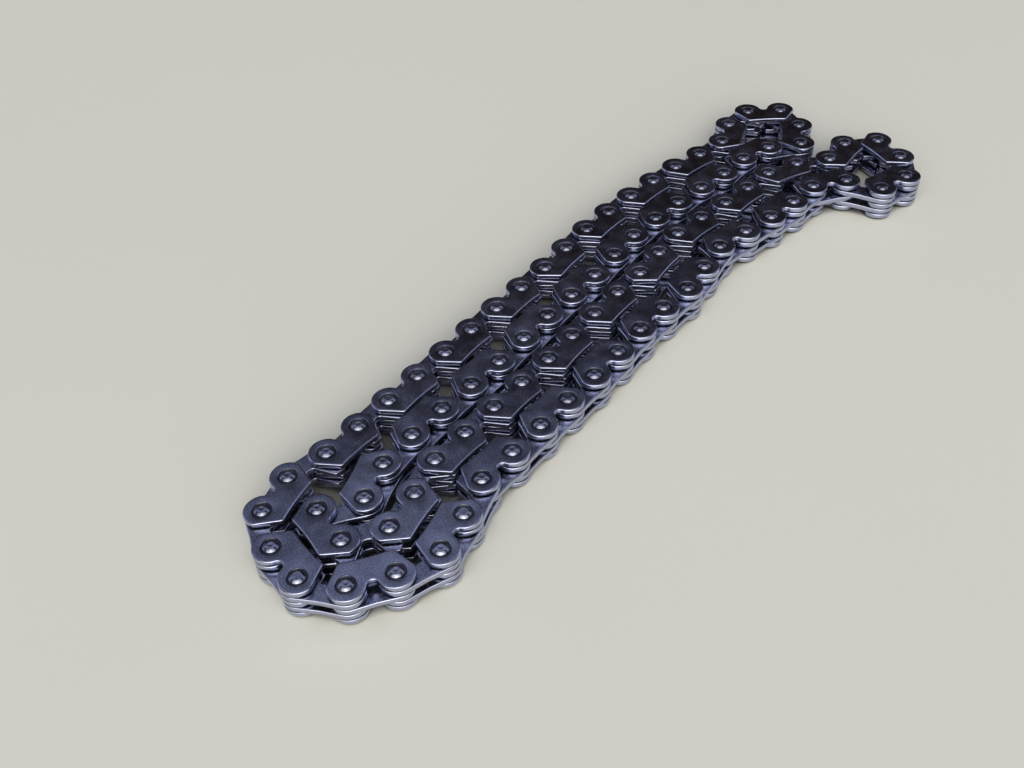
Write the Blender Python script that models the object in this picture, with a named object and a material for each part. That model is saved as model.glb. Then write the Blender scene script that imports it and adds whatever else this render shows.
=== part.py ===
"""Closed loop of laminated steel chain, lying on its side in four rows.

Half-inch pitch. The pins stand upright, so every row shares the same five plate
levels. Outer links (three humped plates on two riveted pins) and inner links (two
toothed plates, at the levels between) take turns round the loop. Each object here
is one outer link with the inner link that follows it.
Metres, +Z up. The rows run along X, the near turn is at -X, and the underside of
the pin ends lies on z = 0.
"""
import math

import bmesh
import bpy
from mathutils import Matrix, Vector

MM = 0.001

# Sizes of the chain, in millimetres
PITCH = 12.7
PLATE_THICKNESS = 1.7
PLATE_CLEARANCE = 0.4
PLATE_LEVEL_COUNT = 5
PIN_RADIUS = 2.1
PIN_HEAD_HEIGHT = 0.7
BORE_RADIUS = 2.8
ROUND_SIDES = 6

# Outer plate, seen from above: round ends, a waist outside and a hump inside the loop
OUTER_END_RADIUS = 5.1
OUTER_WAIST = 0.5
OUTER_END_STOP_DEG = 186.0
OUTER_END_STEPS = 4
HUMP_DEPTH = 7.1
HUMP_OVERHANG = 0.9
CORNER_CUT = 1.0

# Inner plate, seen from above: round ends, a straight back and two legs with an arch
INNER_END_RADIUS = 5.4
INNER_END_STOP_DEG = 186.0
INNER_END_STEPS = 2
LEG_DEPTH = 6.9
LEG_HALF_WIDTH = 1.1
ARCH_RISE = 1.1
ARCH_HALF_WIDTH = 1.5

# Pins of the loop as they lie, in millimetres on a plan whose X runs along the rows.
# Each entry is x, y and the number of pitches to the next entry.
ROW_A = [
    (90.5, 168, 1), (102.5, 171.5, 1), (115, 169.5, 2), (140, 170, 2), (166, 170.5, 2),
    (191.5, 171.5, 2), (217, 171.5, 2), (242, 173.5, 2), (267.5, 172.5, 2), (293.5, 170, 1),
    (306, 167, 1), (318, 164.5, 1),
]
FAR_TURN_AB = [
    (330.5, 170, 1), (343, 168.5, 1), (351, 159, 1), (345, 147.5, 1), (333, 141.5, 1),
    (324, 149, 1),
]
ROW_B = [
    (312.5, 152.5, 1), (300, 153.5, 2), (274.5, 157, 2), (249.5, 158.5, 2), (224, 156.5, 2),
    (198.5, 156.5, 2), (173, 155, 2), (147.5, 155.5, 2), (122.5, 154.5, 1),
]
NEAR_TURN_BC = [(110.5, 149.5, 1), (99.5, 157, 1), (97, 144.5, 1), (108, 138, 1)]
ROW_C = [
    (120.5, 140.5, 1), (132.5, 143.5, 2), (158, 144, 2), (183, 144, 2), (208, 145, 2),
    (233.5, 145.5, 2), (259, 146.5, 2), (284, 143.5, 2), (308, 140, 1),
]
FAR_TURN_CD = [
    (319.5, 135.5, 1), (330.5, 128.5, 1), (342.5, 127, 1), (351.5, 119.5, 1), (347, 107.5, 1),
    (335.5, 100.5, 1), (324, 106, 1),
]
ROW_D = [
    (319, 116, 1), (309, 122.5, 2), (285.5, 127, 2), (261, 130.5, 2), (236, 129.5, 2),
    (211, 129.5, 2), (186, 129, 2), (160.5, 129, 2), (135.5, 128.5, 1), (123, 125.5, 1),
]
NEAR_TURN_DA = [
    (111, 123, 1), (98.5, 126.5, 1), (88, 133.5, 1), (82, 144.5, 1), (84, 157, 1),
]
ROUTE = (ROW_A + FAR_TURN_AB + ROW_B + NEAR_TURN_BC + ROW_C + FAR_TURN_CD + ROW_D
         + NEAR_TURN_DA)
SETTLING_ROUNDS = 4000

# Undersides of the plates above the floor, in millimetres, from the lowest up
LEVEL_STEP = PLATE_THICKNESS + PLATE_CLEARANCE
LEVELS = [PIN_HEAD_HEIGHT + LEVEL_STEP * i for i in range(PLATE_LEVEL_COUNT)]
OUTER_LEVELS = LEVELS[0::2]
INNER_LEVELS = LEVELS[1::2]
TOTAL_HEIGHT = LEVELS[-1] + PLATE_THICKNESS + PIN_HEAD_HEIGHT

FLAT_ANGLE = math.radians(0.2)
SMOOTH_ANGLE = math.radians(65)

STEEL_COLOUR = (0.035, 0.036, 0.045, 1.0)
STEEL_ROUGHNESS = 0.42
STEEL_METALLIC = 0.9


def clear_scene():
    for obj in list(bpy.data.objects):
        bpy.data.objects.remove(obj, do_unlink=True)


def make_collection(name):
    collection = bpy.data.collections.new(name)
    bpy.context.scene.collection.children.link(collection)
    return collection


def blackened_steel():
    material = bpy.data.materials.new("blackened_steel")
    material.use_nodes = True
    shader = material.node_tree.nodes["Principled BSDF"]
    shader.inputs["Base Color"].default_value = STEEL_COLOUR
    shader.inputs["Roughness"].default_value = STEEL_ROUGHNESS
    shader.inputs["Metallic"].default_value = STEEL_METALLIC
    material.diffuse_color = STEEL_COLOUR
    return material


def arc(radius, start_deg, stop_deg, steps):
    """Points of an arc round the origin, from start to stop."""
    angles = [math.radians(start_deg + (stop_deg - start_deg) * i / steps) for i in range(steps + 1)]
    return [(radius * math.cos(a), radius * math.sin(a)) for a in angles]


def mirrored_at_mid_pitch(points):
    """The same points at the link's other end, in the opposite order."""
    return [(PITCH - x, y) for x, y in reversed(points)]


def cut_corner(corner, before, after, cut):
    """Two points that take a corner off, each at the given distance from it."""
    tip = Vector(corner)
    sides = [(Vector(p) - tip).normalized() for p in (before, after)]
    return [tuple(tip + side * cut) for side in sides]


def outer_plate_outline():
    """One end of the outer plate from its waist round to its hump, then the other end."""
    waist_radius = ((PITCH / 2) ** 2 + OUTER_WAIST ** 2 - OUTER_END_RADIUS ** 2) / (
        2 * (OUTER_END_RADIUS - OUTER_WAIST))
    waist_start = math.degrees(math.atan2(OUTER_WAIST + waist_radius, PITCH / 2))
    end = arc(OUTER_END_RADIUS, waist_start, OUTER_END_STOP_DEG, OUTER_END_STEPS)
    corner = (-HUMP_OVERHANG, -HUMP_DEPTH)
    half = end + cut_corner(corner, end[-1], (PITCH / 2, -HUMP_DEPTH), CORNER_CUT)
    return [(PITCH / 2, OUTER_WAIST)] + half + mirrored_at_mid_pitch(half)


def inner_plate_outline():
    """One end of the inner plate from its back round to its arch, then the other end."""
    end = arc(INNER_END_RADIUS, 90.0, INNER_END_STOP_DEG, INNER_END_STEPS)
    leg = [(-LEG_HALF_WIDTH, -LEG_DEPTH), (LEG_HALF_WIDTH, -LEG_DEPTH)]
    arch = [(PITCH / 2 - ARCH_HALF_WIDTH, -ARCH_RISE)]
    half = end + leg + arch
    return half + mirrored_at_mid_pitch(half)


def plate(name, outline, low, collection):
    """A flat plate cut to an outline, its underside at the given level."""
    curve = bpy.data.curves.new(name, "CURVE")
    curve.dimensions = "2D"
    curve.fill_mode = "BOTH"
    curve.extrude = PLATE_THICKNESS / 2 * MM
    spline = curve.splines.new("POLY")
    spline.points.add(len(outline) - 1)
    for point, (x, y) in zip(spline.points, outline):
        point.co = (x * MM, y * MM, 0.0, 1.0)
    spline.use_cyclic_u = True
    flat = bpy.data.objects.new(name, curve)
    flat.location.z = (low + PLATE_THICKNESS / 2) * MM
    collection.objects.link(flat)
    return curve_to_mesh(flat, collection)


def curve_to_mesh(flat, collection):
    """The mesh object that takes a curve's place, with its caps welded on."""
    bpy.context.view_layer.update()
    evaluated = flat.evaluated_get(bpy.context.evaluated_depsgraph_get())
    mesh = bpy.data.meshes.new_from_object(evaluated)
    solid = bpy.data.objects.new(flat.name, mesh)
    solid.matrix_world = flat.matrix_world.copy()
    collection.objects.link(solid)
    bpy.data.objects.remove(flat, do_unlink=True)
    shape = bmesh.new()
    shape.from_mesh(mesh)
    bmesh.ops.remove_doubles(shape, verts=shape.verts, dist=0.001 * MM)
    bmesh.ops.recalc_face_normals(shape, faces=shape.faces)
    shape.to_mesh(mesh)
    shape.free()
    join_flat_faces(mesh)
    return solid


def join_flat_faces(mesh):
    """Joins neighbouring faces that lie in one plane."""
    shape = bmesh.new()
    shape.from_mesh(mesh)
    bmesh.ops.dissolve_limit(shape, angle_limit=FLAT_ANGLE, verts=shape.verts, edges=shape.edges)
    shape.to_mesh(mesh)
    shape.free()


def post(name, radius, low, high, x, collection):
    """An upright round bar between two levels."""
    mesh = bpy.data.meshes.new(name)
    shape = bmesh.new()
    place = Matrix.Translation((x * MM, 0.0, (low + high) / 2 * MM))
    bmesh.ops.create_cone(shape, cap_ends=True, cap_tris=False, segments=ROUND_SIDES,
                          radius1=radius * MM, radius2=radius * MM, depth=(high - low) * MM,
                          matrix=place)
    shape.to_mesh(mesh)
    shape.free()
    bar = bpy.data.objects.new(name, mesh)
    collection.objects.link(bar)
    return bar


def combine(base, others, operation):
    """Applies Boolean modifiers and the base's own place to it, and removes the others."""
    for other in others:
        step = base.modifiers.new(operation.lower(), "BOOLEAN")
        step.operation = operation
        step.solver = "EXACT"
        step.object = other
        other.hide_render = True
        other.display_type = "WIRE"
    bpy.context.view_layer.update()
    evaluated = base.evaluated_get(bpy.context.evaluated_depsgraph_get())
    mesh = bpy.data.meshes.new_from_object(evaluated)
    base.modifiers.clear()
    mesh.transform(base.matrix_world)
    base.matrix_world = Matrix.Identity(4)
    base.data = mesh
    join_flat_faces(mesh)
    for other in others:
        bpy.data.objects.remove(other, do_unlink=True)
    return base


def outer_link(collection):
    """Three outer plates on two riveted pins."""
    outline = outer_plate_outline()
    lowest, *others = [plate("outer_plate", outline, low, collection) for low in OUTER_LEVELS]
    pins = [post("pin", PIN_RADIUS, 0.0, TOTAL_HEIGHT, x, collection) for x in (0.0, PITCH)]
    return combine(lowest, [*pins, *others], "UNION")


def inner_link(collection):
    """Two inner plates, bored at their far end for the next link's pin."""
    outline = inner_plate_outline()
    lower, *others = [plate("inner_plate", outline, low, collection) for low in INNER_LEVELS]
    bore = post("bore", BORE_RADIUS, 0.0, TOTAL_HEIGHT, PITCH, collection)
    return combine(combine(lower, others, "UNION"), [bore], "DIFFERENCE")


def smooth_point(before, start, stop, after, share):
    """A point between start and stop on the smooth curve through all four."""
    a, b, c, d = (Vector(p) for p in (before, start, stop, after))
    t = share
    return 0.5 * (2 * b + (c - a) * t + (2 * a - 5 * b + 4 * c - d) * t ** 2
                  + (3 * b - a - 3 * c + d) * t ** 3)


def settled_pins():
    """Every pin of the loop, each exactly one pitch from the next."""
    count = len(ROUTE)
    pins = []
    for i, (x, y, pitches) in enumerate(ROUTE):
        around = [ROUTE[(i + k) % count][:2] for k in (-1, 0, 1, 2)]
        pins += [smooth_point(*around, step / pitches) for step in range(pitches)]
    for _ in range(SETTLING_ROUNDS):
        for i, pin in enumerate(pins):
            other = pins[(i + 1) % len(pins)]
            gap = other - pin
            shift = gap * (0.5 * (gap.length - PITCH) / gap.length)
            pin += shift
            other -= shift
    return pins


def placement(start, stop):
    """Sets a link's first pin on start and points the link at stop."""
    heading = math.atan2(stop.y - start.y, stop.x - start.x)
    return Matrix.Translation((start.x * MM, start.y * MM, 0.0)) @ Matrix.Rotation(heading, 4, "Z")


def link_pair(number, pins, outer_mesh, inner_mesh, material, parts, cutters):
    """One outer link joined at its second pin to the inner link that follows it."""
    first = 2 * (number - 1)
    a, b, c = (pins[(first + k) % len(pins)] for k in range(3))
    pair = bpy.data.objects.new(f"link_pair_{number:02d}", outer_mesh.copy())
    parts.objects.link(pair)
    follower = bpy.data.objects.new("follower", inner_mesh)
    follower.matrix_world = placement(a, b).inverted() @ placement(b, c)
    cutters.objects.link(follower)
    combine(pair, [follower], "UNION")
    pair.matrix_world = placement(a, b)
    pair.data.name = pair.name
    pair.data.materials.clear()
    pair.data.materials.append(material)
    pair.data.shade_smooth()
    pair.data.set_sharp_from_angle(angle=SMOOTH_ANGLE)
    return pair


def centre_over_origin(pairs):
    """Moves the whole loop so that the middle of its box stands over the origin."""
    corners = [pair.matrix_world @ vertex.co for pair in pairs for vertex in pair.data.vertices]
    middle = [(min(c[axis] for c in corners) + max(c[axis] for c in corners)) / 2 for axis in (0, 1)]
    shift = Matrix.Translation((-middle[0], -middle[1], 0.0))
    for pair in pairs:
        pair.matrix_world = shift @ pair.matrix_world


def main():
    clear_scene()
    parts = make_collection("laminated_chain")
    cutters = make_collection("cutters")
    material = blackened_steel()
    outer = outer_link(cutters)
    inner = inner_link(cutters)
    pins = settled_pins()
    pairs = [
        link_pair(number, pins, outer.data, inner.data, material, parts, cutters)
        for number in range(1, len(pins) // 2 + 1)
    ]
    centre_over_origin(pairs)
    for template in (outer, inner):
        bpy.data.objects.remove(template, do_unlink=True)


if __name__ == "__main__":
    main()
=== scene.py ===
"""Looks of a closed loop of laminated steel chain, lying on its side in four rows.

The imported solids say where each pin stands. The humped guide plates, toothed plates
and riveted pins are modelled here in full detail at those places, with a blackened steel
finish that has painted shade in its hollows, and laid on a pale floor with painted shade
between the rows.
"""

import math
import random

import bmesh
import bpy
from bpy.props import FloatProperty, FloatVectorProperty, IntProperty, PointerProperty
from mathutils import Matrix, Vector


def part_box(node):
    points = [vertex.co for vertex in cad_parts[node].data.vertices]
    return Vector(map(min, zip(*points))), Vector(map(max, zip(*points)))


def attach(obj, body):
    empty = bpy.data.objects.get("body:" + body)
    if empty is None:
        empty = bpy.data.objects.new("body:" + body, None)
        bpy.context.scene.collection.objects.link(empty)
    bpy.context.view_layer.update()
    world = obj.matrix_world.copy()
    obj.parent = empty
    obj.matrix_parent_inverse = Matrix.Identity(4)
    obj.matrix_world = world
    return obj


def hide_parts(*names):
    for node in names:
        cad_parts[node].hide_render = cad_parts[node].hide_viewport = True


bl_info = {
    "name": "Laminated Chain Loop",
    "version": (1, 0, 0),
    "blender": (4, 5, 0),
    "location": "3D View > Sidebar > Chain",
    "description": "Models a laid-up loop of laminated steel chain on its packed frame",
    "category": "Add Mesh",
}

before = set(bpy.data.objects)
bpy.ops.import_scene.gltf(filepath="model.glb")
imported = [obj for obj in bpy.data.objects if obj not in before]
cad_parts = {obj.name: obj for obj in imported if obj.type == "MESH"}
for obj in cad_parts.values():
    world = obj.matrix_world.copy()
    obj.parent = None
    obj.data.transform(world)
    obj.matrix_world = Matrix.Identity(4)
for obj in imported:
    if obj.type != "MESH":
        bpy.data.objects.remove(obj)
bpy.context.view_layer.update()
BODY = "root"
MM = 0.001

# First and last link pair of each stretch of the loop
STRETCHES = {
    "row_a": (1, 10),
    "far_turn_ab": (11, 12),
    "row_b": (13, 20),
    "near_turn_bc": (21, 22),
    "row_c": (23, 31),
    "far_turn_cd": (32, 34),
    "row_d": (35, 43),
    "near_turn_da": (44, 45),
}
PLATE_LEVEL_COUNT = 5

# Points of a solid that differ less than this in height are on one level
LEVEL_MARGIN = 0.05 * MM
# No link is longer than this from pin to pin
LARGEST_PITCH = 15 * MM
# Levels of a solid, from 0: the pins' ends, two faces of the lowest plate, then the lower inner plate
INNER_PLATE_LEVEL = 3


# The loop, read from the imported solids

def node_name(number):
    return f"link_pair_{number:02d}"


def box_middle(points):
    """The middle of the box round some plan points."""
    low, high = ([pick(p[axis] for p in points) for axis in (0, 1)] for pick in (min, max))
    return Vector(((low[0] + high[0]) / 2, (low[1] + high[1]) / 2))


def pins_of(number):
    """Plan places of a link pair's two pins. The inner link starts at the second one."""
    points = [vertex.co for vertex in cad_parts[node_name(number)].data.vertices]
    levels = []
    for height in sorted(p.z for p in points):
        if not levels or height - levels[-1] > LEVEL_MARGIN:
            levels.append(height)
    ends = [p.xy for p in points if levels[-1] - p.z < LEVEL_MARGIN]
    here = [p for p in ends if (p - ends[0]).length < LARGEST_PITCH / 2]
    there = [p for p in ends if (p - ends[0]).length >= LARGEST_PITCH / 2]
    inner_height = levels[INNER_PLATE_LEVEL]
    inner_link = box_middle([p.xy for p in points if abs(p.z - inner_height) < LEVEL_MARGIN])
    return sorted((box_middle(here), box_middle(there)), key=lambda place: -(place - inner_link).length)


PAIR_COUNT = len(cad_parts)
PINS = [pin for number in range(1, PAIR_COUNT + 1) for pin in pins_of(number)]
PITCH = (PINS[1] - PINS[0]).length
FULL_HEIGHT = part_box(node_name(1))[1].z


def pin(number):
    """A pin's plan place, counted from 0 and on past the end of the loop."""
    return PINS[number % len(PINS)]


def first_pin(number):
    """Where a link pair's first pin stands in the count of pins."""
    return 2 * (number - 1)


def placement(start, stop):
    """Puts a link's first pin on start and points the link at stop."""
    heading = math.atan2(stop.y - start.y, stop.x - start.x)
    return Matrix.Translation((start.x, start.y, 0.0)) @ Matrix.Rotation(heading, 4, "Z")


# Settings that a user would change

class ChainSizes(bpy.types.PropertyGroup):
    """Sizes of the chain's pieces."""

    plate_thickness: FloatProperty(
        name="Plate thickness", description="Thickness of every plate",
        default=1.7 * MM, unit="LENGTH")
    plate_clearance: FloatProperty(
        name="Plate clearance", description="Gap between a plate and the next one up",
        default=0.4 * MM, unit="LENGTH")
    pin_radius: FloatProperty(
        name="Pin radius", description="Radius of a pin between its riveted ends",
        default=1.85 * MM, unit="LENGTH")
    pin_head_radius: FloatProperty(
        name="Pin head radius", description="Radius of a pin's riveted end",
        default=2.15 * MM, unit="LENGTH")
    pin_flat_radius: FloatProperty(
        name="Pin flat radius", description="Radius of the flat inside a riveted end's round shoulder",
        default=1.35 * MM, unit="LENGTH")
    pin_shoulder_drop: FloatProperty(
        name="Pin shoulder drop", description="How far the shoulder of a riveted end falls",
        default=0.66 * MM, unit="LENGTH")
    pin_head_height: FloatProperty(
        name="Pin head height", description="How far a riveted end stands out of its plate",
        default=0.7 * MM, unit="LENGTH")
    recess_radius: FloatProperty(
        name="Recess radius", description="Radius of the ring pressed into a plate round a pin",
        default=2.8 * MM, unit="LENGTH")
    recess_depth: FloatProperty(
        name="Recess depth", description="Depth of the ring pressed into a plate round a pin",
        default=0.34 * MM, unit="LENGTH")
    end_radius: FloatProperty(
        name="End radius", description="Radius of every plate's round ends",
        default=5.09 * MM, unit="LENGTH")
    waist: FloatProperty(
        name="Waist", description="Height of a guide plate's waist over the line of the pins",
        default=0.5 * MM, unit="LENGTH")
    hump_depth: FloatProperty(
        name="Hump depth", description="How far the hump reaches from the line of the pins",
        default=7.1 * MM, unit="LENGTH")
    hump_overhang: FloatProperty(
        name="Hump overhang", description="How far the hump's corners reach past the pins",
        default=0.9 * MM, unit="LENGTH")
    hump_hollow: FloatProperty(
        name="Hump hollow", description="Depth of the hollow in the hump's long edge",
        default=0.35 * MM, unit="LENGTH")
    leg_depth: FloatProperty(
        name="Leg depth", description="How far a toothed plate's legs reach from the line of the pins",
        default=6.9 * MM, unit="LENGTH")
    edge_rounding: FloatProperty(
        name="Edge rounding", description="Radius of the rounded edge round one face of every plate",
        default=0.28 * MM, unit="LENGTH")


class SteelFinish(bpy.types.PropertyGroup):
    """Colours and shine of the blackened steel."""

    oxide: FloatVectorProperty(
        name="Oxide", description="Colour of the blackened faces",
        default=(0.30, 0.32, 0.42), size=3, subtype="COLOR", min=0.0, max=1.0)
    dark_oxide: FloatVectorProperty(
        name="Dark oxide", description="Colour of the darker stains in the blackening",
        default=(0.070, 0.072, 0.100), size=3, subtype="COLOR", min=0.0, max=1.0)
    # The sides' lighter colour is partly a painted sheen, standing in for sides that catch the light
    sheared_and_sheen: FloatVectorProperty(
        name="Sheared side", description="Colour of the plates' sides, where they were punched",
        default=(0.44, 0.465, 0.63), size=3, subtype="COLOR", min=0.0, max=1.0)
    worn: FloatVectorProperty(
        name="Worn edge", description="Colour of edges that have rubbed bright",
        default=(0.47, 0.49, 0.62), size=3, subtype="COLOR", min=0.0, max=1.0)
    # Colour of the painted shade in the recesses, round the bores and under the pins' heads
    grime: FloatVectorProperty(
        name="Grime", description="Colour of oily dirt in the recesses",
        default=(0.030, 0.030, 0.036), size=3, subtype="COLOR", min=0.0, max=1.0)
    roughness: FloatProperty(
        name="Roughness", description="Roughness of the blackened faces",
        default=0.22, min=0.0, max=1.0, subtype="FACTOR")
    metallic: FloatProperty(
        name="Metallic", description="How metallic the steel looks",
        default=0.98, min=0.0, max=1.0, subtype="FACTOR")
    tone_spread: FloatProperty(
        name="Tone spread", description="How much one link differs in tone from the next",
        default=0.35, min=0.0, max=1.0, subtype="FACTOR")
    seed: IntProperty(
        name="Seed", description="Start of the draws that make links differ", default=7)


class StageSettings(bpy.types.PropertyGroup):
    """The floor, the light and the camera."""

    floor: FloatVectorProperty(
        name="Floor", description="Colour of the floor",
        default=(0.73, 0.725, 0.64), size=3, subtype="COLOR", min=0.0, max=1.0)
    sky_strength: FloatProperty(
        name="Room light", description="Strength of the soft light from the surroundings",
        default=1.5, min=0.1, soft_max=10.0)
    key_power: FloatProperty(
        name="Front light", description="Power of the soft light behind the camera",
        default=10.0, min=0.0, soft_max=200.0, unit="POWER")
    camera_tilt: FloatProperty(
        name="Camera tilt", description="How far the camera looks down",
        default=math.radians(44.26), subtype="ANGLE")
    camera_roll: FloatProperty(
        name="Camera roll", description="How far the picture leans",
        default=math.radians(-2.71), subtype="ANGLE")
    camera_heading: FloatProperty(
        name="Camera heading", description="Angle between the view and a line straight across the rows",
        default=math.radians(49.0), subtype="ANGLE")
    lens: FloatProperty(
        name="Lens", description="Focal length for a sensor 36 mm wide",
        default=37.165, min=1.0, subtype="DISTANCE_CAMERA")


# Outlines in metres, seen from above, anticlockwise. A link's first pin is at the origin, and its
# second one a pitch along X.

WAIST_STEPS = 7
GUIDE_END_STEPS = 30
TOOTHED_END_STEPS = 20
CORNER_STEPS = 5
EDGE_PIECES = 5
BACK_PIECES = 6
# A round end runs a little past the side before its straight edge starts
END_STOP_DEG = 186.0
HUMP_ROUNDING = 1.2 * MM
# How far a toothed plate's back falls between the pins
BACK_FALL = 0.3 * MM
# Corners of a leg's foot, along the plate
FOOT_OUTER_X = -1.1 * MM
FOOT_INNER_X = 1.9 * MM
FOOT_ROUNDING = 0.6 * MM
# A leg's inner flank points at the first of these, and turns into the arch at the second
FLANK_AIM = Vector((4.6 * MM, -2.1 * MM))
ARCH_CORNER = Vector((5.2 * MM, -0.8 * MM))
ARCH_ROUNDING = 0.8 * MM
ARCH_CROWN_Y = -0.7 * MM


def arc(centre, radius, start_deg, stop_deg, steps):
    """Points of an arc from start to stop, both included."""
    angles = [math.radians(start_deg + (stop_deg - start_deg) * i / steps) for i in range(steps + 1)]
    return [Vector((centre[0] + radius * math.cos(a), centre[1] + radius * math.sin(a)))
            for a in angles]


def rounded_corner(corner, before, after, radius):
    """An arc that takes the place of a corner between two straight edges."""
    tip = Vector(corner)
    back, ahead = ((Vector(p) - tip).normalized() for p in (before, after))
    half_angle = back.angle(ahead) / 2
    centre = tip + (back + ahead).normalized() * (radius / math.sin(half_angle))
    reach = radius / math.tan(half_angle)
    start, stop = tip + back * reach - centre, tip + ahead * reach - centre
    turn = start.angle_signed(stop)
    angles = [-turn * step / CORNER_STEPS for step in range(CORNER_STEPS + 1)]
    return [centre + Matrix.Rotation(angle, 2) @ start for angle in angles]


def straight(start, stop, pieces):
    """Points between two others, the ends left out."""
    a, b = Vector(start), Vector(stop)
    return [a.lerp(b, i / pieces) for i in range(1, pieces)]


def with_mirror_half(half):
    """An outline from one half, which starts and ends on the link's middle line."""
    return half + [Vector((PITCH - p.x, p.y)) for p in reversed(half[1:-1])]


def guide_plate_outline(sizes):
    """Round ends with a narrow waist between them on one side, and a hump on the other."""
    middle, radius, waist = PITCH / 2, sizes.end_radius, sizes.waist
    waist_radius = (middle ** 2 + waist ** 2 - radius ** 2) / (2 * (radius - waist))
    meeting_deg = math.degrees(math.atan2(waist + waist_radius, middle))
    waist_arc = arc((middle, waist + waist_radius), waist_radius, 270.0, 180.0 + meeting_deg, WAIST_STEPS)
    end = arc((0.0, 0.0), radius, meeting_deg, END_STOP_DEG, GUIDE_END_STEPS)
    corner = Vector((-sizes.hump_overhang, -sizes.hump_depth))
    hump_middle = Vector((middle, corner.y))
    hump = rounded_corner(corner, end[-1], hump_middle, HUMP_ROUNDING)
    half_width = middle - hump[-1].x
    hollow = [
        Vector((p.x, corner.y + sizes.hump_hollow * (1 - ((p.x - middle) / half_width) ** 2)))
        for p in straight(hump[-1], hump_middle, EDGE_PIECES) + [hump_middle]
    ]
    side = straight(end[-1], hump[0], EDGE_PIECES)
    return with_mirror_half(waist_arc + end[1:] + side + hump + hollow)


def toothed_plate_outline(sizes):
    """Round ends, a nearly straight back, and two legs with an arch between them."""
    middle, radius, foot_y = PITCH / 2, sizes.end_radius, -sizes.leg_depth
    back_middle = Vector((middle, radius - BACK_FALL))
    back = straight(back_middle, (0.0, radius), BACK_PIECES)
    end = arc((0.0, 0.0), radius, 90.0, END_STOP_DEG, TOOTHED_END_STEPS)
    heel = rounded_corner((FOOT_OUTER_X, foot_y), end[-1], (FOOT_INNER_X, foot_y), FOOT_ROUNDING)
    toe = rounded_corner((FOOT_INNER_X, foot_y), heel[-1], FLANK_AIM, FOOT_ROUNDING)
    crown = Vector((middle, ARCH_CROWN_Y))
    arch = rounded_corner(ARCH_CORNER, FLANK_AIM, crown, ARCH_ROUNDING)
    side = straight(end[-1], heel[0], EDGE_PIECES)
    flank = straight(toe[-1], arch[0], EDGE_PIECES)
    return with_mirror_half([back_middle] + back + end + side + heel + toe + flank + arch + [crown])


def circle(radius, sides, x=0.0):
    """Points round a circle, each once."""
    return arc((x, 0.0), radius, 0.0, 360.0 - 360.0 / sides, sides - 1)


def inset(outline, depth):
    """An outline moved inwards by a depth, or outwards if that is negative."""
    moved = []
    for before, here, after in zip(outline[-1:] + outline[:-1], outline, outline[1:] + outline[:1]):
        first, second = (here - before).normalized(), (after - here).normalized()
        along = (first + second).normalized()
        inwards = Vector((-along.y, along.x))
        moved.append(here + inwards * (depth / along.dot(second)))
    return moved


# Solids, built ring by ring

# What the mesh carries for each of its points
# Besides wear and tone, these mark painted shade in the hollows and the punched sides, whose lighter colour
# is partly a painted sheen
NOTES = ("wear", "grime", "cut", "tone")
SHARP_ANGLE = math.radians(50)
BORE_SIDES = 30
PIN_SIDES = 28
# Room between an inner link's bores and the pins that it turns on
TURNING_PLAY = 0.06 * MM

# One face of a plate has a rounded edge and the other, the flat face, a slightly broken one. The
# punched side between them is a little hollow. A land is a narrow ring at the border of a face,
# which keeps the edge's shading off the rest of it.
FLAT_BREAK = 0.1 * MM
FLAT_LAND = 0.15 * MM
SIDE_HOLLOW = 0.02 * MM
HOLLOW_PLACE = 0.55
ROUND_LAND = 0.22 * MM
# How worn the rounded edge is, and how much of the punched sides' colour it takes, which is partly a
# painted sheen, from the side up to the face
EDGE_WEAR = (0.1, 0.45, 0.6, 0.35)
EDGE_CUT_AND_SHEEN = (1.0, 0.9, 0.4, 0.0)

# First rings of the holes: distance out from the edge of the recess or bore, depth, wear and the share of
# painted shade
PRESSED_WALL = (
    (0.2 * MM, 0.0, 0.0, 0.0),
    (0.0, 0.02 * MM, 0.2, 0.1),
    (-0.12 * MM, 0.1 * MM, 0.0, 0.5),
)
PLAIN_LIP = (
    (0.4 * MM, 0.0, 0.0, 0.3),
    (0.2 * MM, 0.02 * MM, 0.0, 0.8),
    (0.0, 0.2 * MM, 0.0, 1.0),
)
PRESSED_WALL_WIDTH = 0.28 * MM

# A riveted end: its shoulder falls slowly at first and then faster, and its rim turns in a little
SHOULDER_STEPS = 6
SHOULDER_BULGE = 1.3
RIM_TURN = 0.01 * MM
RIM_FOOT_TURN = 0.04 * MM
SHAFT_RING = 0.5 * MM
DIMPLE_STEP = 0.12 * MM
# Radius and depth of the dimples in the riveted ends. Each pin has one of these kinds, by chance.
DIMPLES = (
    (0.75 * MM, 0.04 * MM),
    (0.95 * MM, 0.03 * MM),
    (0.6 * MM, 0.05 * MM),
    (1.0 * MM, 0.015 * MM),
)


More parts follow.
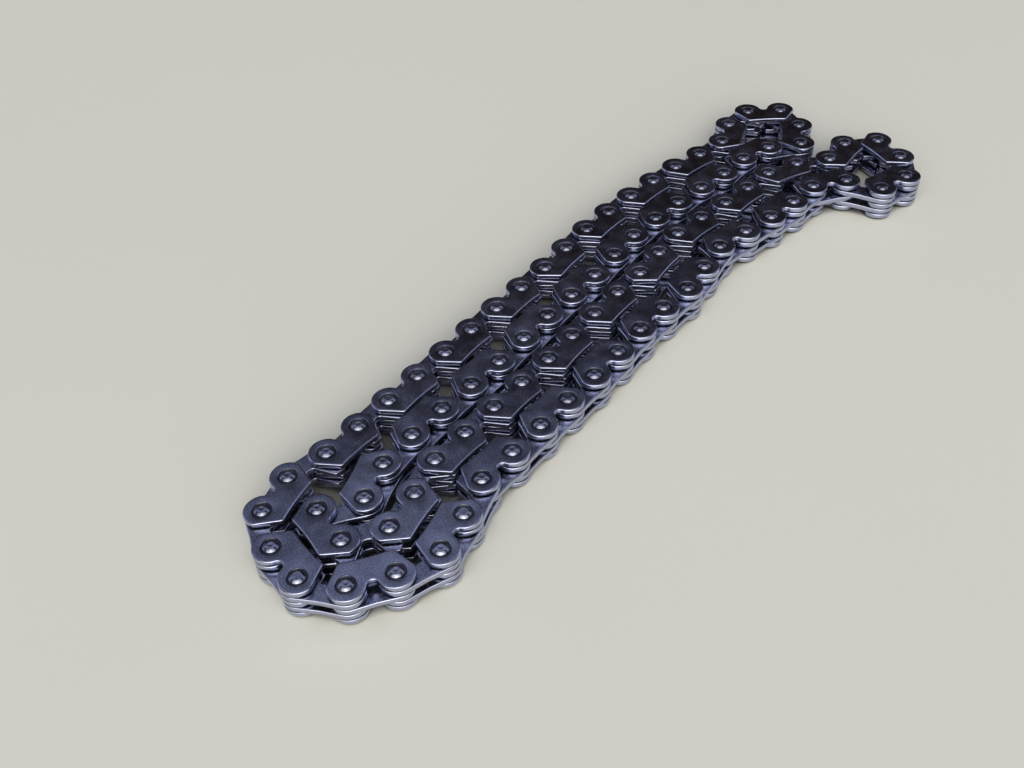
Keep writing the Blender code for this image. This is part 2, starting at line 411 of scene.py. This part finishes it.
class Shell:
    """A solid under construction. Each ring notes how worn it is, how much painted shade it gets, and how
    freshly cut it is, which lightens it partly as a painted sheen.
    """

    def __init__(self):
        self.mesh = bmesh.new()
        layers = self.mesh.verts.layers.float
        self.notes = {name: layers.new(name) for name in NOTES}

    def ring(self, points, level, wear=0.0, grime=0.0, cut=0.0):
        """A closed ring of points at one level."""
        verts = [self.mesh.verts.new((p.x, p.y, level)) for p in points]
        for vert in verts:
            vert[self.notes["wear"]] = wear
            vert[self.notes["grime"]] = grime
            vert[self.notes["cut"]] = cut
        return verts

    def wall(self, rings):
        """Joins each ring to the next."""
        for one, other in zip(rings, rings[1:]):
            for i in range(len(one)):
                k = (i + 1) % len(one)
                self.mesh.faces.new((one[i], one[k], other[k], other[i]))

    def cap(self, *rings):
        """Closes the flat face between a ring and any rings inside it."""
        edges = [
            self.mesh.edges.get((ring[i], ring[(i + 1) % len(ring)]))
            or self.mesh.edges.new((ring[i], ring[(i + 1) % len(ring)]))
            for ring in rings for i in range(len(ring))
        ]
        bmesh.ops.triangle_fill(self.mesh, use_beauty=True, edges=edges)

    def finished(self, name):
        """The mesh, facing out, smooth but for its real corners."""
        bmesh.ops.recalc_face_normals(self.mesh, faces=self.mesh.faces)
        mesh = bpy.data.meshes.new(name)
        self.mesh.to_mesh(mesh)
        self.mesh.free()
        mesh.shade_smooth()
        mesh.set_sharp_from_angle(angle=SHARP_ANGLE)
        return mesh


def quarter_round(radius, steps):
    """(distance in from the side, distance down from the face) along a rounded edge."""
    angles = [math.pi / 2 * i / steps for i in range(steps + 1)]
    return [(radius * (1 - math.cos(a)), radius * (1 - math.sin(a))) for a in angles]


def plate(shell, outline, holes, underside, faces_up, sizes):
    """One plate. Holes are (x, rings), each ring a radius, a depth below the rounded face and its notes.

    The rounded face looks up where faces_up is true, and down where it isn't.
    """
    thick, rounding = sizes.plate_thickness, sizes.edge_rounding

    def level(depth):
        return underside + (thick - depth if faces_up else depth)

    # Rims: distance in, depth, wear, and share of the punched sides' colour, which is partly a painted
    # sheen
    rims = [
        (FLAT_BREAK + FLAT_LAND, thick, 0.0, 0.0),
        (FLAT_BREAK, thick, 0.1, 0.5),
        (0.0, thick - FLAT_BREAK, 0.2, 1.0),
        (SIDE_HOLLOW, thick * HOLLOW_PLACE, 0.0, 1.0),
    ]
    round_edge = quarter_round(rounding, len(EDGE_WEAR) - 1)
    rims += [(*place, wear, cut) for place, wear, cut in zip(round_edge, EDGE_WEAR, EDGE_CUT_AND_SHEEN)]
    rims += [(rounding + ROUND_LAND, 0.0, 0.0, 0.0)]
    rings = [shell.ring(inset(outline, distance), level(depth), wear, 0.0, cut)
             for distance, depth, wear, cut in rims]
    shell.wall(rings)
    rounded_rims, flat_rims = [rings[-1]], [rings[0]]
    for x, profile in holes:
        bores = [shell.ring(circle(radius, BORE_SIDES, x), level(depth), wear, grime)
                 for radius, depth, wear, grime in profile]
        shell.wall(bores)
        rounded_rims.append(bores[0])
        flat_rims.append(bores[-1])
    shell.cap(*rounded_rims)
    shell.cap(*flat_rims)


def plate_levels(sizes):
    """Undersides of the five plates of the stack, lowest first."""
    step = sizes.plate_thickness + sizes.plate_clearance
    return [sizes.pin_head_height + step * i for i in range(PLATE_LEVEL_COUNT)]


def pressed_ring(sizes):
    """Rings of a hole with a ring pressed into the plate round it."""
    recess, depth, bore = sizes.recess_radius, sizes.recess_depth, sizes.pin_radius
    wall = [(recess + out, down, wear, grime) for out, down, wear, grime in PRESSED_WALL]
    return wall + [
        (recess - PRESSED_WALL_WIDTH, depth, 0.0, 0.8),
        (bore, depth, 0.0, 0.8),
        (bore, sizes.plate_thickness, 0.0, 1.0),
    ]


def plain_bore(sizes, play):
    """Rings of a plain hole. play is the room between it and the pin."""
    bore = sizes.pin_radius + play
    lip = [(bore + out, down, wear, grime) for out, down, wear, grime in PLAIN_LIP]
    return lip + [(bore, sizes.plate_thickness, 0.0, 1.0)]


def guide_plates(sizes):
    """The two humped plates outside on an outer link, each with its rounded face outwards."""
    shell = Shell()
    levels = plate_levels(sizes)
    outline, hole = guide_plate_outline(sizes), pressed_ring(sizes)
    for underside, faces_up in ((levels[0], False), (levels[-1], True)):
        plate(shell, outline, [(0.0, hole), (PITCH, hole)], underside, faces_up, sizes)
    return shell.finished("guide_plates")


def toothed_plates(sizes, undersides, play):
    """Toothed plates of one link, one at each level. play is the room round the pins."""
    shell = Shell()
    outline, hole = toothed_plate_outline(sizes), plain_bore(sizes, play)
    for underside in undersides:
        plate(shell, outline, [(0.0, hole), (PITCH, hole)], underside, faces_up=True, sizes=sizes)
    return shell.finished("toothed_plates")


def turned(shell, profile, sides):
    """A closed round bar from (radius, level, wear, painted shade) rings, lowest first."""
    rings = [shell.ring(circle(radius, sides), level, wear, grime)
             for radius, level, wear, grime in profile]
    shell.wall(rings)
    shell.cap(rings[0])
    shell.cap(rings[-1])


def riveted_pin(sizes, dimple_radius, dimple_depth):
    """A pin whose ends are pressed out over the plates, with a shallow dimple in each."""
    shell = Shell()
    shaft, head, flat = sizes.pin_radius, sizes.pin_head_radius, sizes.pin_flat_radius
    under = sizes.pin_head_height + sizes.recess_depth
    # The last number of each ring is its share of painted shade, deepest under the head and down the shaft
    lower = [
        (DIMPLE_STEP, dimple_depth, 0.0, 0.1),
        (dimple_radius * 0.6, dimple_depth * 0.8, 0.0, 0.1),
        (dimple_radius, dimple_depth * 0.2, 0.1, 0.0),
        (dimple_radius + DIMPLE_STEP, 0.0, 0.1, 0.0),
        (flat, 0.0, 0.05, 0.0),
    ]
    for step in range(1, SHOULDER_STEPS + 1):
        share = step / SHOULDER_STEPS
        drop = sizes.pin_shoulder_drop * share ** SHOULDER_BULGE
        lower.append((flat + (head - flat) * share, drop, 0.15, 0.0))
    lower += [
        (head - RIM_TURN, sizes.pin_head_height, 0.35, 0.0),
        (head - RIM_FOOT_TURN, under, 0.1, 0.6),
        (shaft, under, 0.0, 1.0),
        (shaft, under + SHAFT_RING, 0.0, 1.0),
    ]
    upper = [(radius, FULL_HEIGHT - depth, wear, grime) for radius, depth, wear, grime in reversed(lower)]
    turned(shell, lower + upper, PIN_SIDES)
    return shell.finished("pin")


# Shader maths

# Places of a Mix node's sockets when it mixes colours. Their names are shared with its other kinds.
MIX_FACTOR = 0
MIX_FIRST = 6
MIX_SECOND = 7
MIX_RESULT = 2


class Wire:
    """One output of a material's nodes. Sums and products of wires add Math nodes."""

    def __init__(self, tree, socket=None):
        self.tree = tree
        self.socket = socket

    def node(self, kind, sockets=None, settings=None, output=0):
        """A new node: its settings are set first, then the values or links of its sockets.

        output is the name or the place of the socket that the new wire comes from.
        """
        made = self.tree.nodes.new(kind)
        for name, value in (settings or {}).items():
            if name == "stops":
                self.set_stops(made.color_ramp, value)
            else:
                setattr(made, name, value)
        for name, value in (sockets or {}).items():
            if isinstance(value, Wire):
                self.tree.links.new(value.socket, made.inputs[name])
            else:
                made.inputs[name].default_value = value
        return Wire(self.tree, made.outputs[output] if len(made.outputs) else None)

    @staticmethod
    def set_stops(ramp, stops):
        """Gives a ramp its (place, colour) stops."""
        while len(ramp.elements) < len(stops):
            ramp.elements.new(0.5)
        for element, (place, colour) in zip(ramp.elements, stops):
            element.position = place
            element.color = colour

    def maths(self, operation, *values):
        """A Math node on some numbers, each a wire or a plain number."""
        return self.node("ShaderNodeMath", dict(enumerate(values)), {"operation": operation})

    def dot(self, direction):
        """How far a vector points in a direction."""
        return self.node("ShaderNodeVectorMath", {0: self, 1: direction},
                         {"operation": "DOT_PRODUCT"}, "Value")

    def __add__(self, other):
        return self.maths("ADD", self, other)

    def __sub__(self, other):
        return self.maths("SUBTRACT", self, other)

    def __rsub__(self, other):
        return self.maths("SUBTRACT", other, self)

    def __mul__(self, other):
        return self.maths("MULTIPLY", self, other)

    __radd__ = __add__
    __rmul__ = __mul__

    def between(self, low, high):
        """0 at low and 1 at high, held to that range."""
        return self.node("ShaderNodeMapRange", {"Value": self, "From Min": low, "From Max": high},
                         {"clamp": True})

    def mixed(self, first, second):
        """The first colour where this is 0, the second where it is 1."""
        return self.node("ShaderNodeMix", {MIX_FACTOR: self, MIX_FIRST: first, MIX_SECOND: second},
                         {"data_type": "RGBA"}, MIX_RESULT)


def opaque(colour):
    """A colour with full alpha."""
    return (*colour, 1.0)


def new_material(name):
    """A material with an empty tree, and a wire to start from."""
    material = bpy.data.materials.new(name)
    material.use_nodes = True
    material.node_tree.nodes.clear()
    return material, Wire(material.node_tree)


def noise(start, scale, detail=2.0, roughness=0.5):
    """Noise whose scale is in lumps to the metre."""
    place = start.node("ShaderNodeTexCoord", output="Object")
    return start.node("ShaderNodeTexNoise", {
        "Vector": place, "Scale": scale, "Detail": detail, "Roughness": roughness})


def note(start, name):
    """A number that the mesh carries for each of its points."""
    return start.node("ShaderNodeAttribute", settings={"attribute_name": name}, output="Fac")


# Lumps to the metre in the finish, from its broad stains to the grain of the blackening
STAIN_SCALE = 240.0
RUB_SCALE = 900.0
MOTTLE_SCALE = 2500.0
GRAIN_SCALE = 5200.0
# The part of each noise that is spread out from 0 to 1
STAIN_RANGE = (0.35, 0.65)
RUB_RANGE = (0.25, 0.6)
MOTTLE_RANGE = (0.32, 0.68)
# How much of the light and dark of the faces comes from the stains and from the mottle
STAIN_SHARE = 0.25
MOTTLE_SHARE = 0.75
# The least that shows of a punched place, whose lighter colour is partly a painted sheen, or of a worn
# place. Mottle and rubbing add the rest.
LEAST_CUT_AND_SHEEN = 0.8
LEAST_WEAR = 0.45
# Wear below the first of these doesn't show, and from the second on the place is bright all over
BRIGHT_RANGE = (0.1, 0.95)
# How much of the steel's colour the deepest painted shade covers
RECESS_SHADE_COVER = 0.9
# What each of these adds to the roughness or takes from it
MOTTLE_ROUGHNESS = 0.06
STAIN_ROUGHNESS = 0.08
WEAR_POLISH = 0.06
RECESS_SHADE_ROUGHNESS = 0.25
# Relief of the faces
GRAIN_RELIEF = 0.35
MOTTLE_RELIEF = 0.65
RELIEF_STRENGTH = 0.3
RELIEF_DEPTH = 0.016 * MM


def blackened_steel(name, finish, shine=0.0, polish=0.0):
    """Satin black oxide on steel, bright where it was rubbed, lighter on its punched sides partly as a
    painted sheen, and with painted shade in its hollows.

    shine lightens the whole finish and polish takes roughness away.
    """
    material, start = new_material(name)
    stain = noise(start, STAIN_SCALE, detail=3.0).between(*STAIN_RANGE)
    mottle = noise(start, MOTTLE_SCALE, roughness=0.7).between(*MOTTLE_RANGE)
    grain = noise(start, GRAIN_SCALE)
    rub = noise(start, RUB_SCALE).between(*RUB_RANGE)
    wear, grime, cut, tone = (note(start, word) for word in NOTES)

    lightness = stain * STAIN_SHARE + mottle * MOTTLE_SHARE + tone * finish.tone_spread + shine
    faces = lightness.between(0.0, 1.0).mixed(opaque(finish.dark_oxide), opaque(finish.oxide))
    # Punched sides: lighter than the faces, partly as a painted sheen
    bare_and_sheen = (cut * (LEAST_CUT_AND_SHEEN + (1 - LEAST_CUT_AND_SHEEN) * mottle)).between(0.0, 1.0)
    sheared_and_sheen = bare_and_sheen.mixed(faces, opaque(finish.sheared_and_sheen))
    bright = (wear * (LEAST_WEAR + (1 - LEAST_WEAR) * rub)).between(*BRIGHT_RANGE)
    worn = bright.mixed(sheared_and_sheen, opaque(finish.worn))
    # Painted shade darkens the hollows, the bores and the feet of the pins' heads towards near black
    colour = (grime * RECESS_SHADE_COVER).between(0.0, 1.0).mixed(worn, opaque(finish.grime))

    roughness = (finish.roughness - polish) + MOTTLE_ROUGHNESS * (mottle - 0.5)
    roughness = roughness + STAIN_ROUGHNESS * (stain - 0.5) - WEAR_POLISH * bright + RECESS_SHADE_ROUGHNESS * grime
    height = grain * GRAIN_RELIEF + mottle * MOTTLE_RELIEF
    bump = start.node("ShaderNodeBump", {
        "Strength": RELIEF_STRENGTH, "Distance": RELIEF_DEPTH, "Height": height})
    surface = start.node("ShaderNodeBsdfPrincipled", {
        "Base Color": colour, "Roughness": roughness, "Metallic": finish.metallic, "Normal": bump})
    start.node("ShaderNodeOutputMaterial", {"Surface": surface})
    return material


# Pieces

def drawn_tone(draw):
    """How much lighter or darker than the rest one link or pin is."""
    return draw.uniform(-0.5, 0.5)


def joined_copies(name, laid, material):
    """One piece made of many copies. laid holds (mesh, place, tone) for each copy."""
    whole = bmesh.new()
    for mesh, place, tone in laid:
        first = len(whole.verts)
        whole.from_mesh(mesh)
        whole.verts.ensure_lookup_table()
        added = whole.verts[first:]
        bmesh.ops.transform(whole, matrix=place, verts=added)
        layer = whole.verts.layers.float["tone"]
        for vert in added:
            vert[layer] = tone
    mesh = bpy.data.meshes.new(name)
    whole.to_mesh(mesh)
    whole.free()
    mesh.materials.append(material)
    piece = bpy.data.objects.new(name, mesh)
    bpy.context.scene.collection.objects.link(piece)
    return piece


def stretch_pieces(label, copies_of_pair, material):
    """One piece for each stretch of the loop, in the place of its packed link pairs."""
    for stretch, (first, last) in STRETCHES.items():
        numbers = range(first, last + 1)
        laid = [copy for number in numbers for copy in copies_of_pair(number)]
        piece = joined_copies(f"{label}_{stretch}", laid, material)
        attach(piece, BODY)
        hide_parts(*[node_name(number) for number in numbers])


class CHAIN_OT_guide_plates(bpy.types.Operator):
    """Makes the two humped plates outside on every outer link."""

    bl_idname = "chain.guide_plates"
    bl_label = "Guide Plates"

    def execute(self, context):
        finish = context.scene.steel_finish
        mesh = guide_plates(context.scene.chain_sizes)
        draw = random.Random(finish.seed)

        def copies(number):
            start = first_pin(number)
            return [(mesh, placement(pin(start), pin(start + 1)), drawn_tone(draw))]

        stretch_pieces("guide_plates", copies, blackened_steel("guide_plate_steel", finish))
        return {"FINISHED"}


class CHAIN_OT_toothed_plates(bpy.types.Operator):
    """Makes the toothed plates: one in the middle of every outer link, two on every inner link."""

    bl_idname = "chain.toothed_plates"
    bl_label = "Toothed Plates"

    def execute(self, context):
        finish = context.scene.steel_finish
        sizes = context.scene.chain_sizes
        _, lower, middle, upper, _ = plate_levels(sizes)
        held = toothed_plates(sizes, [middle], play=0.0)
        turning = toothed_plates(sizes, [lower, upper], play=TURNING_PLAY)
        draw = random.Random(finish.seed + 1)

        def copies(number):
            start = first_pin(number)
            return [(mesh, placement(pin(start + k), pin(start + k + 1)), drawn_tone(draw))
                    for k, mesh in enumerate((held, turning))]

        stretch_pieces("toothed_plates", copies, blackened_steel("toothed_plate_steel", finish))
        return {"FINISHED"}


class CHAIN_OT_pins(bpy.types.Operator):
    """Makes the riveted pins."""

    bl_idname = "chain.pins"
    bl_label = "Pins"

    def execute(self, context):
        finish = context.scene.steel_finish
        sizes = context.scene.chain_sizes
        kinds = [riveted_pin(sizes, *dimple) for dimple in DIMPLES]
        draw = random.Random(finish.seed + 2)

        def copies(number):
            laid = []
            start = first_pin(number)
            for place in (pin(start), pin(start + 1)):
                turn = Matrix.Rotation(draw.uniform(0, math.tau), 4, "Z")
                spot = Matrix.Translation((place.x, place.y, 0.0)) @ turn
                laid.append((draw.choice(kinds), spot, drawn_tone(draw)))
            return laid

        stretch_pieces("pins", copies, blackened_steel("pin_steel", finish, shine=0.15, polish=0.03))
        return {"FINISHED"}


# Stage

FLOOR_SIDE = 8.0
FLOOR_PATCH_SCALE = 4.0
FLOOR_PATCH_TONE = 0.97
FLOOR_ROUGHNESS = 0.6
# Painted shade: the floor is darkened where steel within the reach closes it in, down to this share of its
# colour
SHADE_REACH = 14 * MM
SHADE_RANGE = (0.12, 0.42)
SHADE_DEPTH = 0.06
KEY_PLACE = Vector((-1.9, -1.65, 1.5))
KEY_SIDES = (1.6, 1.2)
# The side that the soft light comes from, and the sky's colours from the far side round to it
FRONT = Vector((-0.71, -0.62, 0.34)).normalized()
SKY = (
    (0.0, (0.024, 0.014, 0.010)),
    (0.21, (0.026, 0.016, 0.012)),
    (0.30, (0.055, 0.056, 0.068)),
    (0.42, (0.52, 0.56, 0.76)),
    (0.56, (0.12, 0.12, 0.15)),
    (0.74, (0.10, 0.10, 0.11)),
    (0.86, (1.10, 1.08, 1.05)),
    (1.0, (2.4, 2.33, 2.16)),
)
# What the camera sees where nothing stands
BACKDROP = (0.72, 0.72, 0.70)
CAMERA_PLACE = Vector((-217.173 * MM, -136.835 * MM, 226.78 * MM))
CAMERA_CLIP = (0.01, 20.0)
SENSOR_WIDTH = 36.0


def floor_material(colour):
    """Pale and plain, with painted shade, nearly black, where the loop's rows close it in."""
    material, start = new_material("pale_floor")
    shade = noise(start, FLOOR_PATCH_SCALE, detail=3.0).between(0.2, 0.8)
    tint = shade.mixed(opaque([c * FLOOR_PATCH_TONE for c in colour]), opaque(colour))
    openness = start.node("ShaderNodeAmbientOcclusion", {"Distance": SHADE_REACH}, output="AO")
    # Painted shade: the floor's colour darkens where the occlusion of the rows is deep
    tint = openness.between(*SHADE_RANGE).mixed(opaque([c * SHADE_DEPTH for c in colour]), tint)
    surface = start.node("ShaderNodeBsdfPrincipled", {"Base Color": tint, "Roughness": FLOOR_ROUGHNESS})
    start.node("ShaderNodeOutputMaterial", {"Surface": surface})
    return material


def make_floor(colour):
    """A flat floor that the loop lies on."""
    mesh = bpy.data.meshes.new("floor")
    shape = bmesh.new()
    bmesh.ops.create_grid(shape, x_segments=1, y_segments=1, size=FLOOR_SIDE / 2)
    shape.to_mesh(mesh)
    shape.free()
    mesh.materials.append(floor_material(colour))
    floor = bpy.data.objects.new("floor", mesh)
    bpy.context.scene.collection.objects.link(floor)


def make_sky(strength):
    """Soft light, bright in front and above and nearly dark behind, with a pale blue band between.

    The camera sees a plain pale backdrop instead.
    """
    world = bpy.data.worlds.new("studio")
    world.use_nodes = True
    world.node_tree.nodes.clear()
    start = Wire(world.node_tree)
    frontness = start.node("ShaderNodeTexCoord", output="Generated").dot(FRONT) * 0.5 + 0.5
    stops = [(place, opaque(colour)) for place, colour in SKY]
    light = start.node("ShaderNodeValToRGB", {"Fac": frontness}, {"stops": stops})
    seen = start.node("ShaderNodeLightPath", output="Is Camera Ray")
    colour = seen.mixed(light, opaque([c / strength for c in BACKDROP]))
    surface = start.node("ShaderNodeBackground", {"Color": colour, "Strength": strength})
    start.node("ShaderNodeOutputWorld", {"Surface": surface})
    bpy.context.scene.world = world


def make_softbox(name, place, sides, power):
    """A soft rectangular light that faces the loop."""
    light = bpy.data.lights.new(name, "AREA")
    light.shape = "RECTANGLE"
    light.size, light.size_y = sides
    light.energy = power
    lamp = bpy.data.objects.new(name, light)
    lamp.matrix_world = Matrix.Translation(place) @ (-place).to_track_quat("-Z", "Y").to_matrix().to_4x4()
    bpy.context.scene.collection.objects.link(lamp)


def make_camera(stage):
    """A camera where the photograph was taken from."""
    heading, tilt, roll = stage.camera_heading, stage.camera_tilt, stage.camera_roll
    ahead = Vector((math.sin(heading), math.cos(heading), 0.0))
    side = Vector((math.cos(heading), -math.sin(heading), 0.0))
    rise = Vector((0.0, 0.0, 1.0))
    view = ahead * math.cos(tilt) - rise * math.sin(tilt)
    over = ahead * math.sin(tilt) + rise * math.cos(tilt)
    right = side * math.cos(roll) + over * math.sin(roll)
    up = over * math.cos(roll) - side * math.sin(roll)
    lens = bpy.data.cameras.new("camera")
    lens.sensor_width = SENSOR_WIDTH
    lens.lens = stage.lens
    lens.clip_start, lens.clip_end = CAMERA_CLIP
    camera = bpy.data.objects.new("camera", lens)
    turn = Matrix((right, up, -view)).transposed().to_4x4()
    camera.matrix_world = Matrix.Translation(CAMERA_PLACE) @ turn
    bpy.context.scene.collection.objects.link(camera)
    bpy.context.scene.camera = camera


class CHAIN_OT_stage(bpy.types.Operator):
    """Makes the pale floor, the soft light and the camera."""

    bl_idname = "chain.stage"
    bl_label = "Stage"

    def execute(self, context):
        stage = context.scene.stage_settings
        make_floor(stage.floor)
        make_sky(stage.sky_strength)
        make_softbox("front_light", KEY_PLACE, KEY_SIDES, stage.key_power)
        make_camera(stage)
        context.scene.view_settings.view_transform = "Standard"
        return {"FINISHED"}


class CHAIN_PT_sidebar(bpy.types.Panel):
    """Lists the chain's settings and the steps that make it."""

    bl_label = "Laminated Chain"
    bl_idname = "CHAIN_PT_sidebar"
    bl_space_type = "VIEW_3D"
    bl_region_type = "UI"
    bl_category = "Chain"

    def draw(self, context):
        layout = self.layout
        for group in (context.scene.chain_sizes, context.scene.steel_finish, context.scene.stage_settings):
            box = layout.box()
            for name in group.__annotations__:
                box.prop(group, name)
        for operator in OPERATORS:
            layout.operator(operator.bl_idname)


OPERATORS = (
    CHAIN_OT_guide_plates,
    CHAIN_OT_toothed_plates,
    CHAIN_OT_pins,
    CHAIN_OT_stage,
)
CLASSES = (ChainSizes, SteelFinish, StageSettings, *OPERATORS, CHAIN_PT_sidebar)


def register():
    for cls in CLASSES:
        bpy.utils.register_class(cls)
    bpy.types.Scene.chain_sizes = PointerProperty(type=ChainSizes)
    bpy.types.Scene.steel_finish = PointerProperty(type=SteelFinish)
    bpy.types.Scene.stage_settings = PointerProperty(type=StageSettings)


def unregister():
    del bpy.types.Scene.stage_settings
    del bpy.types.Scene.steel_finish
    del bpy.types.Scene.chain_sizes
    for cls in reversed(CLASSES):
        bpy.utils.unregister_class(cls)


def main():
    """Makes the loop and its stage."""
    register()
    bpy.ops.chain.guide_plates()
    bpy.ops.chain.toothed_plates()
    bpy.ops.chain.pins()
    bpy.ops.chain.stage()
    bpy.context.view_layer.update()


if __name__ == "__main__":
    main()
